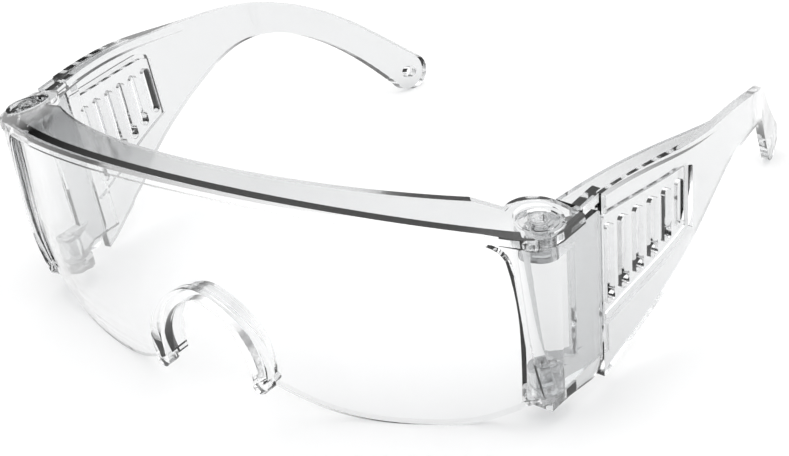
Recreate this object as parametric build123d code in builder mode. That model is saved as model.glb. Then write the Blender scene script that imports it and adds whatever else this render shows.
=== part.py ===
"""Clear over-glasses safety spectacles: a one-piece front, two vented temples and four hinge pins.

Frame: +X is the wearer's left, +Y points back towards the ears, +Z is up, in millimetres.
The open spectacles stand on the lower edge of the lens and on both temple tips, at Z = 0.
A temple is drawn in the frame of its own hinge: u outward, v rearward, w up along the pins.
"""
import os
from math import cos, radians, sin, sqrt, tan
from build123d import *

# ---- driving dimensions: lens and brow ----
lens_radius = 132.0        # plan radius of the front face
lens_front_y = -74.3       # foremost point of the lens
lens_wall = 2.0
lens_half = 71.2           # half width, out to the crease at each side
tuck_from = 25.0           # the lens is upright above this height
tuck_radius = 69.4         # and bends back below it, with this radius in side view
brow_top = 57.5            # top of the ledge in the middle
brow_end = 48.2            # top of the ledge above the creases
ledge_thick = 2.2
ledge_rear_y = -66.8       # rear edge of the ledge in the middle
ledge_neck = (58.0, -48.9)             # where the curved rear edge turns out to the hinge
ledge_outer = 78.4         # outer edge, above the side return
lip_reach = 1.5            # how far the brow lip and the pane's frame stand in front of the lens
lip_height = 2.7
lip_half = 67.0            # where the ledge's front edge leaves the lip
frame_top_x = 69.8         # half width of the framed pane at its upper corners
frame_bulge = (71.2, 29.0)             # widest point of the pane
frame_foot_x = 66.0        # half width that its sides would have at Z = 0
frame_foot_z = 7.9         # lower end of the frame
frame_corner_r = 6.0       # upper corners of the pane

# ---- driving dimensions: side returns ----
side_wall = 1.6
side_foot_x = 73.0         # outer face at Z = 0, before the lean
side_front = (70.8, -54.6)             # front edge, just proud of the lens
side_bend = 8.0            # depth of the rounded front corner
side_rear_y = -32.0        # trailing edge
side_rear_top = 44.0       # height of the return behind the ledge
side_fillets = (2.0, 8.0, 4.0, 1.2)

# ---- driving dimensions: nose bridge ----
bridge_apex = 27.4         # top of the nose opening
bridge_wall = 3.0          # thickness of its rim at the top
bridge_back_wall = 2.0     # thickness of the wall behind the rim
bridge_half = 22.0         # half width that holds all of the bridge
bridge_front = 0.9         # how far the bridge stands in front of the lens
bridge_rim_rear = 2.4      # rear of its thick rim, behind the lens front
bridge_rear = 5.8          # rear of the thinner wall behind the rim
bridge_end = (14.0, 9.0)               # centre of its rounded lower end
bridge_end_r = 1.9
bridge_back_end_r = 1.0

# ---- driving dimensions: hinges ----
hinge_x, hinge_y, hinge_z = 68.0, -46.0, 4.5
lean = 6.0                 # hinge axis and temple lean outward at the top, degrees
pin_r = 1.7
pin_play = 0.06            # radial running clearance in the lugs of the temple
pin_head_r = 2.35
pin_head_thick = 0.5
pin_tail = 0.5             # how far a pin stands out of its lug
gap = 0.3                  # clearance between front and temple
lug_r = 3.5
shelf_r = 4.6
shelf_web = 4.9            # u at which the lower seat runs into the side return
shelf_low, shelf_high = 0.4, 2.8       # lower seat on the front, along w
low_lug_top = 8.6
high_lug_low, high_lug_top = 35.6, 39.0
boss_r = 5.3
boss_top = 43.4            # upper seat on the front, along w
groove_in, groove_out, groove_deep = 3.1, 4.3, 0.6

# ---- driving dimensions: temples ----
temple_wall = 2.2
shoulder_v = side_rear_y - hinge_y + gap   # the shoulder meets the trailing edge when open
tongue_outer, tongue_inner = 3.5, 1.5  # u of the tongue that lies inside the side return
tongue_front = boss_r + 0.5
tongue_root = shoulder_v + 3.0
flange_front = 8.4
flange_thick = 2.2
tip_v, tip_w, tip_r = 117.08, -1.0, 4.72
cord_hole_r = 1.5
vent_count, vent_pitch, vent_first = 6, 4.8, 18.6
slot_width = 2.5
vent_pocket = 1.1          # depth of the recess in the outer face
vent_rim = 0.9             # width of the step round the slots
pad_thick = 1.2            # extra wall behind the recess

# ---- construction sizes: how far neighbouring shapes of one moulding overlap, and cuts past the object ----
overlap = 0.5
tall = 70.0
deep = 60.0
below = 5.0

os.makedirs("parts", exist_ok=True)

# ---- planes and derived curves ----
up_axis = (sin(radians(lean)), 0, cos(radians(lean)))
out_axis = (cos(radians(lean)), 0, -sin(radians(lean)))
hinge_plane = Plane(origin=(hinge_x, hinge_y, hinge_z), x_dir=out_axis, z_dir=up_axis)
# Side elevation of the temple: sketch x is v, sketch y is w, and the normal points outward.
side_plane = Plane(origin=(hinge_x, hinge_y, hinge_z), x_dir=(0, 1, 0), z_dir=out_axis)
front_plane = Plane(origin=(0, -100, 0), x_dir=(1, 0, 0), z_dir=(0, -1, 0))


def lens_y(x, inset):
    """Plan position of the lens surface that lies inset behind the front face."""
    radius = lens_radius - inset
    return lens_front_y + inset + radius - sqrt(radius ** 2 - x ** 2)


def tuck(height):
    """How far the lens has bent back at a height."""
    if height > tuck_from:
        return 0.0
    return tuck_radius - sqrt(tuck_radius ** 2 - (tuck_from - height) ** 2)


def profile(inset):
    """Side view of the lens surface that lies inset behind the front face; returns its lower, bent part."""
    y = lens_front_y + inset
    Line((y, tall), (y, tuck_from))
    half_way = tuck_from / 2
    return ThreePointArc((y, tuck_from), (y + tuck(half_way), half_way), (y + tuck(-below), -below))


def curved_wall(front, rear):
    """Ring with the curvature of the lens, between two insets from its front face."""
    with BuildPart() as ring:
        with BuildSketch(Plane.YZ):
            with BuildLine():
                front_line = profile(front)
                rear_line = profile(rear)
                Line(front_line @ 1, rear_line @ 1)
                Line((lens_front_y + front, tall), (lens_front_y + rear, tall))
            make_face()
        revolve(axis=Axis((0, lens_front_y + lens_radius, 0), (0, 0, 1)))
    return ring.part


def plan_arc(half, inset):
    """Lens plan arc of the given half width, inset behind the front face."""
    end_y = lens_y(half, inset)
    return ThreePointArc((-half, end_y), (0, lens_front_y + inset), (half, end_y))


def brow_arc(half, drop):
    """Brow arch in front elevation, lowered by drop."""
    end_z = brow_top - drop - (brow_top - brow_end) * (half / lens_half) ** 2
    return ThreePointArc((-half, end_z), (0, brow_top - drop), (half, end_z))


def band(first, second):
    """Close two open curves that run the same way."""
    Line(first @ 0, second @ 0)
    Line(first @ 1, second @ 1)


def mirrored(points):
    """The same outline on the other side of the middle, in reverse order."""
    return [(-x, z) for x, z in reversed(points)]


# ---- front: lens ----
lens_end = lens_half + 1.2     # the lens runs a little way into the side returns
lens_edge = [(14.2, 8.8), (20, 5.7), (27, 2.5), (36, 0.5), (47, 0.0), (56, 0.6), (66.5, 4.5), (lens_end, 7.6)]
nose_notch = [(14.2, 8.8), (14.4, 15.0), (11.8, 21.4), (6.0, 26.8)]
notch_top = (0, bridge_apex + bridge_wall / 2)

lens_ring = curved_wall(0, lens_wall)
lip_ring = curved_wall(-lip_reach, overlap)

with BuildPart() as lens:
    add(lens_ring)
    with BuildSketch(front_plane):
        with BuildLine():
            top = brow_arc(lens_end, 0.5)
            right_edge = Spline(lens_edge)
            left_edge = Spline(mirrored(lens_edge))
            Spline(nose_notch + [notch_top] + mirrored(nose_notch))
            Line(top @ 1, right_edge @ 1)
            Line(top @ 0, left_edge @ 0)
        make_face()
    extrude(amount=-tall, mode=Mode.INTERSECT)

# ---- front: brow ledge, rounded about the pin at each end ----
pin_top_x = hinge_x + (brow_end - hinge_z) * tan(radians(lean))
ledge_end_r = flange_front - 0.8
ledge_corner = (ledge_outer, hinge_y + ledge_end_r)


def around_pin(side, angle):
    """Point of the ledge end at an angle from the inward direction, on one side."""
    x = pin_top_x - ledge_end_r * cos(radians(angle))
    return (side * x, hinge_y + ledge_end_r * sin(radians(angle)))


with BuildPart() as ledge:
    with BuildSketch(Plane.XY):
        with BuildLine():
            plan_arc(lip_half, -lip_reach)
            neck_x, neck_y = ledge_neck
            ThreePointArc((-neck_x, neck_y), (0, ledge_rear_y), (neck_x, neck_y))
            for side in (-1, 1):
                Line((side * neck_x, neck_y), around_pin(side, -10))
                ThreePointArc(around_pin(side, -10), around_pin(side, 40), around_pin(side, 90))
                outer_rear = (side * ledge_outer, hinge_y + ledge_end_r)
                outer_front = (side * ledge_outer, side_front[1] + side_bend)
                front_end = (side * (side_front[0] + 1.7), side_front[1] - 0.6)
                Polyline(around_pin(side, 90), outer_rear, outer_front)
                ThreePointArc(outer_front, (side * (ledge_outer - 2.3), side_front[1] + 2.4), front_end)
                Line(front_end, (side * lip_half, lens_y(lip_half, -lip_reach)))
        make_face()
    extrude(amount=tall)
    with BuildSketch(front_plane):
        with BuildLine():
            band(brow_arc(ledge_outer + 2, 0), brow_arc(ledge_outer + 2, ledge_thick))
        make_face()
    extrude(amount=-tall, mode=Mode.INTERSECT)

# The lip runs on down both sides of the pane as a bowed frame with rounded upper corners.
with BuildPart() as lip:
    add(lip_ring)
    with BuildSketch(front_plane):
        with BuildLine():
            lip_top = brow_arc(lens_end, 0.2)
            Polyline(lip_top @ 0, (-lens_end, frame_foot_z), (lens_end, frame_foot_z), lip_top @ 1)
        make_face()
        with BuildSketch(front_plane, mode=Mode.PRIVATE) as window:
            with BuildLine():
                window_top = brow_arc(frame_top_x, lip_height)
                bulge_x, bulge_z = frame_bulge
                ThreePointArc(window_top @ 0, (-bulge_x, bulge_z), (-frame_foot_x, 0))
                ThreePointArc(window_top @ 1, (bulge_x, bulge_z), (frame_foot_x, 0))
                Line((-frame_foot_x, 0), (frame_foot_x, 0))
            make_face()
            fillet(window.vertices().group_by(Axis.Z)[-1], radius=frame_corner_r)
        add(window.sketch, mode=Mode.SUBTRACT)
    extrude(amount=-tall, mode=Mode.INTERSECT)


# ---- front: left side return ----
def return_plan(height, inset):
    """Plan of the left side return at a height, shrunk by inset and closed towards the middle."""
    outer_x = side_foot_x + height * tan(radians(lean)) - inset
    front_x, front_y = side_front[0], side_front[1] + tuck(height) + inset
    inner_x = front_x - 7
    start = (outer_x, side_front[1] + side_bend)
    bend = (outer_x - 0.34 * (outer_x + inset - front_x), side_front[1] + 0.7 * tuck(height) + 1.9 + 0.8 * inset)
    rear_y = side_rear_y + inset
    with BuildSketch(Plane.XY.offset(height)) as plan:
        with BuildLine():
            ThreePointArc((front_x, front_y), bend, start)
            Polyline(start, (outer_x, rear_y), (inner_x, rear_y), (inner_x, front_y), (front_x, front_y))
        make_face()
    return plan.sketch


return_levels = (0, 9, 17, 25, 50)

with BuildPart() as side_return:
    loft([return_plan(level, 0) for level in return_levels], ruled=True)
    loft([return_plan(level, side_wall) for level in return_levels], ruled=True, mode=Mode.SUBTRACT)
    # Outline from the side: sloping lower edge, rounded rear corner, lower top behind the ledge.
    with BuildSketch(Plane.YZ.offset(side_front[0])):
        with BuildLine():
            FilletPolyline((-60, 6.8), (-54, 6.4), (-46, 5.2), (side_rear_y, 3.6),
                           (side_rear_y, side_rear_top), (ledge_corner[1], side_rear_top),
                           radius=side_fillets)
            Polyline((ledge_corner[1], side_rear_top), (ledge_corner[1], 50), (-60, 50), (-60, 6.8))
        make_face()
    extrude(amount=20, mode=Mode.INTERSECT)
    with BuildSketch(front_plane):
        with BuildLine():
            under_brow = brow_arc(ledge_outer + 6, 0.3)
            Polyline(under_brow @ 0, (-ledge_outer - 6, 0), (ledge_outer + 6, 0), under_brow @ 1)
        make_face()
    extrude(amount=-tall, mode=Mode.INTERSECT)

# ---- front: left hinge seats ----
with BuildPart() as hinge_seats:
    with BuildSketch(hinge_plane.offset(high_lug_top + gap)):
        Circle(boss_r)
    extrude(amount=boss_top - high_lug_top - gap)
    with BuildSketch(hinge_plane.offset(shelf_low)):
        Circle(shelf_r)
        with Locations((shelf_web / 2, 0)):
            Rectangle(shelf_web, 2 * shelf_r)
    extrude(amount=shelf_high - shelf_low)

# ---- front: nose bridge ----
bridge_outer = [(15.6, 9.0), (16.6, 14.4), (14.0, 21.4), (7.2, 27.8)]
bridge_back = [(14.2, 9.4), (14.3, 15.0), (12.2, 21.2), (6.4, 27.0)]
bridge_inner = [(12.4, 9.0), (12.0, 15.0), (9.2, 21.4), (4.6, 25.9)]


def bridge_ring(outline, top_z, end_r, front, rear):
    """Arch between an outline and the nose opening, from front to rear behind the lens front."""
    with BuildPart() as arch:
        with BuildSketch(front_plane):
            with BuildLine():
                outer = Spline(outline + [(0, top_z)] + mirrored(outline))
                inner = Spline(bridge_inner + [(0, bridge_apex)] + mirrored(bridge_inner))
                band(outer, inner)
            make_face()
            for side in (-1, 1):
                with Locations((side * bridge_end[0], bridge_end[1])):
                    Circle(end_r)
        extrude(amount=-tall)
        with BuildSketch(Plane.XY):
            with BuildLine():
                band(plan_arc(bridge_half, front), plan_arc(bridge_half, rear))
            make_face()
        extrude(amount=tall, mode=Mode.INTERSECT)
    return arch.part


bridge_rim = bridge_ring(bridge_outer, bridge_apex + bridge_wall, bridge_end_r, -bridge_front, bridge_rim_rear)
bridge_back_ring = bridge_ring(bridge_back, bridge_apex + bridge_back_wall, bridge_back_end_r,
                               bridge_rim_rear - overlap, bridge_rear)

# ---- front: everything moulded in one piece ----
with BuildPart() as front_shield:
    for piece in (lens.part, ledge.part, lip.part, bridge_rim, bridge_back_ring):
        add(piece)
    for piece in (side_return, hinge_seats):
        add(piece.part)
        add(piece.part.mirror(Plane.YZ))
    with BuildSketch(hinge_plane.offset(shelf_low - 1)):
        Circle(pin_r)
    pin_bore = extrude(amount=boss_top + 2, mode=Mode.PRIVATE)
    # The upper seat is faced level through the sloping ledge, with a ring groove round the pin.
    with BuildSketch(hinge_plane.offset(boss_top)):
        Circle(boss_r)
    seat_face = extrude(amount=deep, mode=Mode.PRIVATE)
    with BuildSketch(hinge_plane.offset(boss_top)):
        Circle(groove_out)
        Circle(groove_in, mode=Mode.SUBTRACT)
    groove = extrude(amount=-groove_deep, mode=Mode.PRIVATE)
    # The back of the bent lens is relieved where the lower lug of the temple turns.
    with BuildSketch(hinge_plane.offset(shelf_high)):
        Circle(lug_r + gap)
    lug_relief = extrude(amount=low_lug_top + gap - shelf_high, mode=Mode.PRIVATE)
    for cut in (pin_bore, seat_face, groove, lug_relief):
        add(cut, mode=Mode.SUBTRACT)
        add(cut.mirror(Plane.YZ), mode=Mode.SUBTRACT)
front_shield.part.label = "front_shield"
export_step(front_shield.part, "parts/front_shield.step")

# ---- temple, wearer's left ----
wall_plan = [(5.6, shoulder_v), (6.8, 26), (8.3, 42), (7.4, 55), (5.5, 69), (2.9, 83), (-2.4, 95),
             (-7.6, 106), (-12.0, 118), (-13.6, 124)]
flange_plan = [(-1.5, flange_front), (1.2, 25), (3.3, 42), (4.4, 54), (4.9, 64)]
top_edge = [(5.0, 43.0), (36, 42.4), (58, 38.6), (82, 33.8), (97, 25.6), (113.5, 9.6), (120.6, 2.2)]
low_edge = [(5.0, -5.0), (36, 9.2), (60, 21.6), (72, 25.4), (84, 24.4), (95, 18.0), (105, 7.6),
            (113.5, -3.9)]
vent_rear_v = 45.0
vent_outline = [(15.8, 11.6), (vent_rear_v, 19.8), (vent_rear_v, 34.6), (42, 35.8), (15.8, 37.2)]


def wall_curve(inset):
    """Plan curve of the temple wall, inset from the outer face."""
    return Spline([(u - inset, v) for u, v in wall_plan])


def vent_low(v):
    """Height of the lower edge of the vent at v."""
    (v0, w0), (v1, w1) = vent_outline[0], vent_outline[1]
    return w0 + (w1 - w0) * (v - v0) / (v1 - v0)


def vent_block(start, thickness, grow):
    """Part of the temple wall, from start behind the outer face, inside the grown vent outline."""
    with BuildPart() as block:
        with BuildSketch(hinge_plane):
            with BuildLine():
                band(wall_curve(start), wall_curve(start + thickness))
            make_face()
        extrude(amount=tall)
        with BuildSketch(side_plane.offset(-deep / 2)):
            with BuildLine():
                Polyline(*vent_outline, close=True)
            make_face()
            offset(amount=grow, kind=Kind.ARC)
        extrude(amount=deep, mode=Mode.INTERSECT)
    return block.part


pocket = vent_block(-1.0, vent_pocket + 1.0, vent_rim)
pad = vent_block(temple_wall - 0.2, pad_thick + 0.2, 0.0)

with BuildPart() as flange:
    with BuildSketch(hinge_plane):
        with BuildLine():
            inner_line = Spline(flange_plan)
            Polyline(inner_line @ 0, (5.0, flange_front), (5.0, shoulder_v))
            outer_line = Spline([(u - 0.4, v) for u, v in wall_plan[:5]])
            Line((5.0, shoulder_v), outer_line @ 0)
            Line(outer_line @ 1, inner_line @ 1)
        make_face()
    extrude(amount=tall)
    with BuildSketch(side_plane.offset(-deep / 2)):
        with BuildLine():
            band(Spline(top_edge), Spline([(v, w - flange_thick) for v, w in top_edge]))
        make_face()
    extrude(amount=deep, mode=Mode.INTERSECT)

with BuildPart() as temple_left:
    # Wall: a curved band in plan, cut to the side elevation with its round tip.
    with BuildSketch(hinge_plane.offset(-20)):
        with BuildLine():
            band(wall_curve(0), wall_curve(temple_wall))
        make_face()
    extrude(amount=tall)
    with BuildSketch(side_plane.offset(-deep / 2)):
        with BuildLine():
            top_line = Spline(top_edge)
            low_line = Spline(low_edge)
            Line(top_line @ 0, low_line @ 0)
            Polyline(top_line @ 1, (tip_v, tip_w), low_line @ 1)
        make_face()
        with Locations((tip_v, tip_w)):
            Circle(tip_r)
    extrude(amount=deep, mode=Mode.INTERSECT)
    add(flange.part)
    # Tongue inside the side return, stopping short of the upper seat.
    with BuildSketch(hinge_plane.offset(shelf_high + gap)):
        with BuildLine():
            Polyline((tongue_inner, tongue_front), (tongue_outer, tongue_front), (tongue_outer, shoulder_v),
                     (5.4, shoulder_v), (5.4, tongue_root), (tongue_inner, tongue_root), close=True)
        make_face()
    extrude(amount=high_lug_top - shelf_high - gap)
    with BuildSketch(hinge_plane.offset(high_lug_top)):
        with Locations(((tongue_inner + tongue_outer) / 2, (flange_front + tongue_root) / 2)):
            Rectangle(tongue_outer - tongue_inner, tongue_root - flange_front)
    extrude(amount=2.6)
    # Two lugs on the pins.
    for low, high in ((shelf_high + gap, low_lug_top), (high_lug_low, high_lug_top)):
        with BuildSketch(hinge_plane.offset(low)):
            Circle(lug_r)
            with BuildLine():
                Polyline((lug_r, 0), (tongue_outer, tongue_front + 1), (tongue_inner, tongue_front + 3),
                         (-3.0, 1.8), close=True)
            make_face()
            Circle(pin_r + pin_play, mode=Mode.SUBTRACT)
        extrude(amount=high - low)
    # Vent: thicker wall, recess, and a row of slots.
    add(pad)
    add(pocket, mode=Mode.SUBTRACT)
    with BuildSketch(side_plane.offset(-deep / 2)):
        for index in range(vent_count):
            v = vent_first + index * vent_pitch
            low = vent_low(v) + slot_width / 2 + 0.6
            high = 34.0 - 0.05 * index * vent_pitch
            with Locations((v, (low + high) / 2)):
                SlotOverall(high - low, slot_width, rotation=90)
    extrude(amount=deep, mode=Mode.SUBTRACT)
    with BuildSketch(side_plane.offset(-deep / 2)):
        with Locations((tip_v, tip_w)):
            Circle(cord_hole_r)
    extrude(amount=deep, mode=Mode.SUBTRACT)
temple_left.part.label = "temple_left"
export_step(temple_left.part, "parts/temple_left.step")

with BuildPart() as temple_right:
    add(temple_left.part.mirror(Plane.YZ))
temple_right.part.label = "temple_right"
export_step(temple_right.part, "parts/temple_right.step")


# ---- hinge pins ----
def pin(head_w, head_direction, tail_w):
    """Left pin: a head resting on its seat at head_w and a shank that ends at tail_w."""
    with BuildPart() as body:
        with BuildSketch(hinge_plane.offset(head_w)):
            Circle(pin_r)
        extrude(amount=tail_w - head_w)
        with BuildSketch(hinge_plane.offset(head_w)):
            Circle(pin_head_r)
        extrude(amount=head_direction * pin_head_thick)
    return body.part


upper_pin = pin(boss_top, 1, high_lug_low - pin_tail)
lower_pin = pin(shelf_low, -1, low_lug_top + pin_tail)

with BuildPart() as hinge_pin_upper_left:
    add(upper_pin)
hinge_pin_upper_left.part.label = "hinge_pin_upper_left"
export_step(hinge_pin_upper_left.part, "parts/hinge_pin_upper_left.step")

with BuildPart() as hinge_pin_upper_right:
    add(upper_pin.mirror(Plane.YZ))
hinge_pin_upper_right.part.label = "hinge_pin_upper_right"
export_step(hinge_pin_upper_right.part, "parts/hinge_pin_upper_right.step")

with BuildPart() as hinge_pin_lower_left:
    add(lower_pin)
hinge_pin_lower_left.part.label = "hinge_pin_lower_left"
export_step(hinge_pin_lower_left.part, "parts/hinge_pin_lower_left.step")

with BuildPart() as hinge_pin_lower_right:
    add(lower_pin.mirror(Plane.YZ))
hinge_pin_lower_right.part.label = "hinge_pin_lower_right"
export_step(hinge_pin_lower_right.part, "parts/hinge_pin_lower_right.step")
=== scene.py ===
"""Clear safety spectacles on a pale studio floor, under soft light from above."""
import math
import bpy
from mathutils import Matrix, Vector


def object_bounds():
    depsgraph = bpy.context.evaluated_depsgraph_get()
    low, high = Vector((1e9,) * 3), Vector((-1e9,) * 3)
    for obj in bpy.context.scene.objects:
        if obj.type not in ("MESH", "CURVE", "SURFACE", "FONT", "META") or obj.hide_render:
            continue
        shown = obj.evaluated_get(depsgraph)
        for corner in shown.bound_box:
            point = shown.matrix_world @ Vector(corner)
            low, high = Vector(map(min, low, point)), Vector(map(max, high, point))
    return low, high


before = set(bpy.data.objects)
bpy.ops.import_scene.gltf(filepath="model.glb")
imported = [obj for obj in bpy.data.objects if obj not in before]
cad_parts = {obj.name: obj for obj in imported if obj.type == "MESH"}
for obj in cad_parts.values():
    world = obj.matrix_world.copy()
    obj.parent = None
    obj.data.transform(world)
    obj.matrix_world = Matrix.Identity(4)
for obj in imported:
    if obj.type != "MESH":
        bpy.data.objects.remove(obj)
cad_low, cad_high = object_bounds()

# ---- view: azimuth and elevation round the object, tilt about the line of sight ----
AZIMUTH = math.radians(41.43)
ELEVATION = math.radians(28.31)
ROLL = math.radians(-9.41)
CAMERA_OFFSET = (0.3436, -0.3967, 0.26065)  # from the middle of the CAD box, in metres
CLIP_START = 0.01
LENS_MM = 114.8
SENSOR_MM = 36.0

# ---- plastic ----
PLASTIC_IOR = 1.585        # polycarbonate
SHADOW_TINT = (0.93, 0.935, 0.94, 1)        # light that reaches the floor through the plastic
PANE_HALF = 0.0708         # half width of the polished pane of the front
PANE_BLEND = 0.0012        # width over which it turns into the body
LEVEL_START, LEVEL_END = 0.5, 0.8           # how far a face has to tilt to count as level
FLOW_SCALE, FLOW_LOW = 26.0, 0.965          # bands left by the flow of the moulding
WEAR_SCALE = 150.0
RIPPLE_SCALE, RIPPLE_DEPTH = 60.0, 0.0002

# ---- floor and light ----
FLOOR_SIZE = 6.0
FLOOR_SHADES = ((0.95, 0.95, 0.95, 1), (0.97, 0.97, 0.97, 1))
ROOM = (1.0, 1.0, 1.0, 1)  # the room as the camera sees it
SKY_STRENGTH = 1.22
SKY_STOPS = (0.0, 0.05, 0.12, 0.22, 0.78)   # heights of a direction, as sines
HORIZON = 0.8              # brightness at the horizon
ZENITH = 1.0
BAND_RISE = 0.1            # gain in brightness across the darker band
BAND_DARK, BAND_GREY = 0.01, 0.45           # darkest part of the band, away from and towards +X
BAND_START, BAND_END = -0.1, 0.55           # X of a direction over which one turns into the other
SOFTBOX_PLACE, SOFTBOX_SIZE, SOFTBOX_POWER = (-0.3, 0.5, 2.4), 3.0, 20.0


def noise_value(nodes, links, coord, scale, detail, low, high):
    """Noise over a coordinate, spread over a range of values."""
    noise = nodes.new("ShaderNodeTexNoise")
    noise.inputs["Scale"].default_value = scale
    noise.inputs["Detail"].default_value = detail
    links.new(coord, noise.inputs["Vector"])
    remap = nodes.new("ShaderNodeMapRange")
    remap.inputs["From Min"].default_value = 0.3
    remap.inputs["From Max"].default_value = 0.7
    remap.inputs["To Min"].default_value = low
    remap.inputs["To Max"].default_value = high
    links.new(noise.outputs["Fac"], remap.inputs["Value"])
    return remap.outputs["Result"]


def math_value(nodes, links, operation, first, second=None):
    """Result of an operation on a socket and, if given, a number or a second socket."""
    node = nodes.new("ShaderNodeMath")
    node.operation = operation
    links.new(first, node.inputs[0])
    if isinstance(second, float):
        node.inputs[1].default_value = second
    elif second is not None:
        links.new(second, node.inputs[1])
    return node.outputs["Value"]


def ramp_value(nodes, links, value, start, end):
    """0 below start, 1 above end, smooth between."""
    node = nodes.new("ShaderNodeMapRange")
    node.interpolation_type = "SMOOTHSTEP"
    node.inputs["From Min"].default_value = start
    node.inputs["From Max"].default_value = end
    links.new(value, node.inputs["Value"])
    return node.outputs["Result"]


def colour_mix(nodes, links, factor, first, second):
    """Mix of two colours by a socket."""
    mix = nodes.new("ShaderNodeMix")
    mix.data_type = "RGBA"
    mix.inputs["A"].default_value = first
    mix.inputs["B"].default_value = second
    links.new(factor, mix.inputs["Factor"])
    return mix.outputs["Result"]


def component(nodes, links, vector, axis):
    """X, Y or Z of a vector socket."""
    split = nodes.new("ShaderNodeSeparateXYZ")
    links.new(vector, split.inputs["Vector"])
    return split.outputs[axis]


def clear_plastic(name, body_tint, rough, satin, bump, stretch, pane_tint=None):
    """Moulded clear polycarbonate with a faint grey cast, flow bands, fine wear and a satin on level faces.
    With a pane_tint, upright faces nearer the middle than PANE_HALF are the clearer, polished pane; level
    faces there keep the greyer body tint as painted shade."""
    mat = bpy.data.materials.new(name)
    mat.use_nodes = True
    nodes, links = mat.node_tree.nodes, mat.node_tree.links
    nodes.clear()
    out = nodes.new("ShaderNodeOutputMaterial")
    bsdf = nodes.new("ShaderNodeBsdfPrincipled")
    bsdf.inputs["Transmission Weight"].default_value = 1.0
    bsdf.inputs["IOR"].default_value = PLASTIC_IOR
    coord = nodes.new("ShaderNodeTexCoord")
    mapping = nodes.new("ShaderNodeMapping")
    mapping.inputs["Scale"].default_value = stretch
    links.new(coord.outputs["Object"], mapping.inputs["Vector"])
    geometry = nodes.new("ShaderNodeNewGeometry")
    upward = component(nodes, links, geometry.outputs["Normal"], "Z")
    level = ramp_value(nodes, links, math_value(nodes, links, "ABSOLUTE", upward), LEVEL_START, LEVEL_END)

    flow = noise_value(nodes, links, mapping.outputs["Vector"], FLOW_SCALE, 3.0, FLOW_LOW, 1.0)
    banded = nodes.new("ShaderNodeVectorMath")
    banded.operation = "SCALE"
    banded.inputs[0].default_value = body_tint
    links.new(flow, banded.inputs["Scale"])
    links.new(banded.outputs["Vector"], bsdf.inputs["Base Color"])
    if pane_tint:
        place = component(nodes, links, coord.outputs["Object"], "X")
        across = math_value(nodes, links, "ABSOLUTE", place)
        outside = ramp_value(nodes, links, across, PANE_HALF, PANE_HALF + PANE_BLEND)
        # the body tint on level faces inside the pane is painted shade on ledges and edges; outside the
        # pane it is the body's own grey cast
        body_and_level_shade = math_value(nodes, links, "MAXIMUM", level, outside)
        tint = colour_mix(nodes, links, body_and_level_shade, (*pane_tint, 1), (*body_tint, 1))
        links.new(tint, banded.inputs[0])

    wear = noise_value(nodes, links, coord.outputs["Object"], WEAR_SCALE, 6.0, *rough)
    level_satin = math_value(nodes, links, "MULTIPLY", level, satin)
    links.new(math_value(nodes, links, "ADD", wear, level_satin), bsdf.inputs["Roughness"])

    relief = nodes.new("ShaderNodeBump")
    relief.inputs["Strength"].default_value = bump
    relief.inputs["Distance"].default_value = RIPPLE_DEPTH
    ripple = noise_value(nodes, links, mapping.outputs["Vector"], RIPPLE_SCALE, 2.0, 0.0, 1.0)
    links.new(ripple, relief.inputs["Height"])
    links.new(relief.outputs["Normal"], bsdf.inputs["Normal"])

    ray = nodes.new("ShaderNodeLightPath")
    see_through = nodes.new("ShaderNodeBsdfTransparent")
    see_through.inputs["Color"].default_value = SHADOW_TINT
    mix = nodes.new("ShaderNodeMixShader")
    links.new(ray.outputs["Is Shadow Ray"], mix.inputs["Fac"])
    links.new(bsdf.outputs["BSDF"], mix.inputs[1])
    links.new(see_through.outputs["BSDF"], mix.inputs[2])
    links.new(mix.outputs["Shader"], out.inputs["Surface"])
    return mat


def floor_paint():
    """Matt white paper with a slight unevenness."""
    mat = bpy.data.materials.new("floor_paper")
    mat.use_nodes = True
    nodes, links = mat.node_tree.nodes, mat.node_tree.links
    bsdf = nodes["Principled BSDF"]
    bsdf.inputs["Roughness"].default_value = 0.9
    bsdf.inputs["Specular IOR Level"].default_value = 0.1
    coord = nodes.new("ShaderNodeTexCoord")
    shade = noise_value(nodes, links, coord.outputs["Object"], 3.0, 2.0, 0.0, 1.0)
    links.new(colour_mix(nodes, links, shade, *FLOOR_SHADES), bsdf.inputs["Base Color"])
    return mat


# ---- materials on the CAD nodes ----
front_mat = clear_plastic("clear_front", body_tint=(0.75, 0.757, 0.762), rough=(0.0, 0.02), satin=0.05,
                          bump=0.08, stretch=(1, 1, 0.35), pane_tint=(0.985, 0.988, 0.99))
temple_mat = clear_plastic("clear_temple", body_tint=(0.77, 0.777, 0.782), rough=(0.01, 0.04), satin=0.05,
                           bump=0.15, stretch=(1, 0.3, 1))
pin_mat = clear_plastic("clear_pin", body_tint=(0.88, 0.885, 0.89), rough=(0.02, 0.08), satin=0.05,
                        bump=0.3, stretch=(1, 1, 1))

for name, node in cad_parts.items():
    if name == "front_shield":
        paint = front_mat
    elif name.startswith("temple"):
        paint = temple_mat
    else:
        paint = pin_mat
    if not node.material_slots:
        node.data.materials.append(paint)
    for slot in node.material_slots:
        slot.material = paint

# ---- floor ----
bpy.ops.mesh.primitive_plane_add(size=FLOOR_SIZE, location=(0, 0, cad_low[2]))
floor = bpy.context.object
floor.name = "floor"
floor.data.materials.append(floor_paint())

# ---- light: pale above and at the horizon, with a darker band between that moulded edges pick up;
# the band is weaker towards +X. Seen directly, the room is plain and pale. ----
world = bpy.data.worlds.new("studio")
bpy.context.scene.world = world
world.use_nodes = True
nodes, links = world.node_tree.nodes, world.node_tree.links
nodes.clear()
sky_out = nodes.new("ShaderNodeOutputWorld")
coord = nodes.new("ShaderNodeTexCoord")
split = nodes.new("ShaderNodeSeparateXYZ")
links.new(coord.outputs["Generated"], split.inputs["Vector"])


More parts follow.
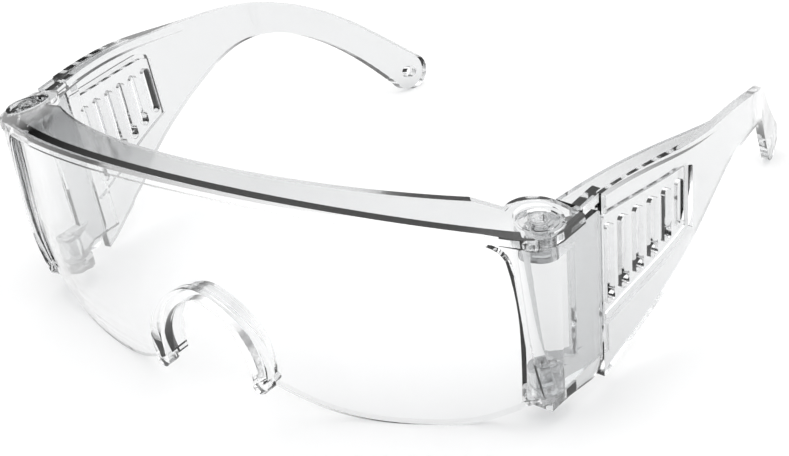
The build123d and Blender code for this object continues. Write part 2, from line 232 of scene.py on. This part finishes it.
def band_ramp(darkest):
    """Brightness of the sky against the height of the direction."""
    ramp = nodes.new("ShaderNodeValToRGB")
    stops = ramp.color_ramp.elements
    stops[1].position = SKY_STOPS[-1]
    for position in SKY_STOPS[1:-1]:
        stops.new(position)
    for stop, value in zip(stops, (HORIZON, HORIZON, darkest, darkest + BAND_RISE, ZENITH)):
        stop.color = (value, value, value, 1)
    links.new(split.outputs["Z"], ramp.inputs["Fac"])
    return ramp.outputs["Color"]


side_blend = nodes.new("ShaderNodeMix")
side_blend.data_type = "RGBA"
links.new(ramp_value(nodes, links, split.outputs["X"], BAND_START, BAND_END), side_blend.inputs["Factor"])
links.new(band_ramp(BAND_DARK), side_blend.inputs["A"])
links.new(band_ramp(BAND_GREY), side_blend.inputs["B"])
sky = nodes.new("ShaderNodeBackground")
sky.inputs["Strength"].default_value = SKY_STRENGTH
links.new(side_blend.outputs["Result"], sky.inputs["Color"])
room = nodes.new("ShaderNodeBackground")
room.inputs["Color"].default_value = ROOM
ray = nodes.new("ShaderNodeLightPath")
seen = nodes.new("ShaderNodeMixShader")
links.new(ray.outputs["Is Camera Ray"], seen.inputs["Fac"])
links.new(sky.outputs["Background"], seen.inputs[1])
links.new(room.outputs["Background"], seen.inputs[2])
links.new(seen.outputs["Shader"], sky_out.inputs["Surface"])

softbox_data = bpy.data.lights.new("softbox_top", "AREA")
softbox_data.shape = "SQUARE"
softbox_data.size = SOFTBOX_SIZE
softbox_data.energy = SOFTBOX_POWER
softbox = bpy.data.objects.new("softbox_top", softbox_data)
bpy.context.collection.objects.link(softbox)
softbox.location = SOFTBOX_PLACE
softbox.rotation_euler = (-Vector(SOFTBOX_PLACE)).to_track_quat("-Z", "Y").to_euler()

# ---- camera ----
middle = (cad_low + cad_high) / 2
back = Vector((math.sin(AZIMUTH) * math.cos(ELEVATION), -math.cos(AZIMUTH) * math.cos(ELEVATION),
               math.sin(ELEVATION)))
level_right = Vector((math.cos(AZIMUTH), math.sin(AZIMUTH), 0))
level_up = back.cross(level_right)
right = level_right * math.cos(ROLL) + level_up * math.sin(ROLL)
up = back.cross(right)
camera_data = bpy.data.cameras.new("camera")
camera_data.lens = LENS_MM
camera_data.sensor_width = SENSOR_MM
camera_data.clip_start = CLIP_START
camera_data.dof.use_dof = False
camera = bpy.data.objects.new("camera", camera_data)
bpy.context.collection.objects.link(camera)
camera.location = middle + Vector(CAMERA_OFFSET)
camera.rotation_euler = Matrix((right, up, back)).transposed().to_euler()
bpy.context.scene.camera = camera
bpy.context.scene.view_settings.view_transform = "Standard"
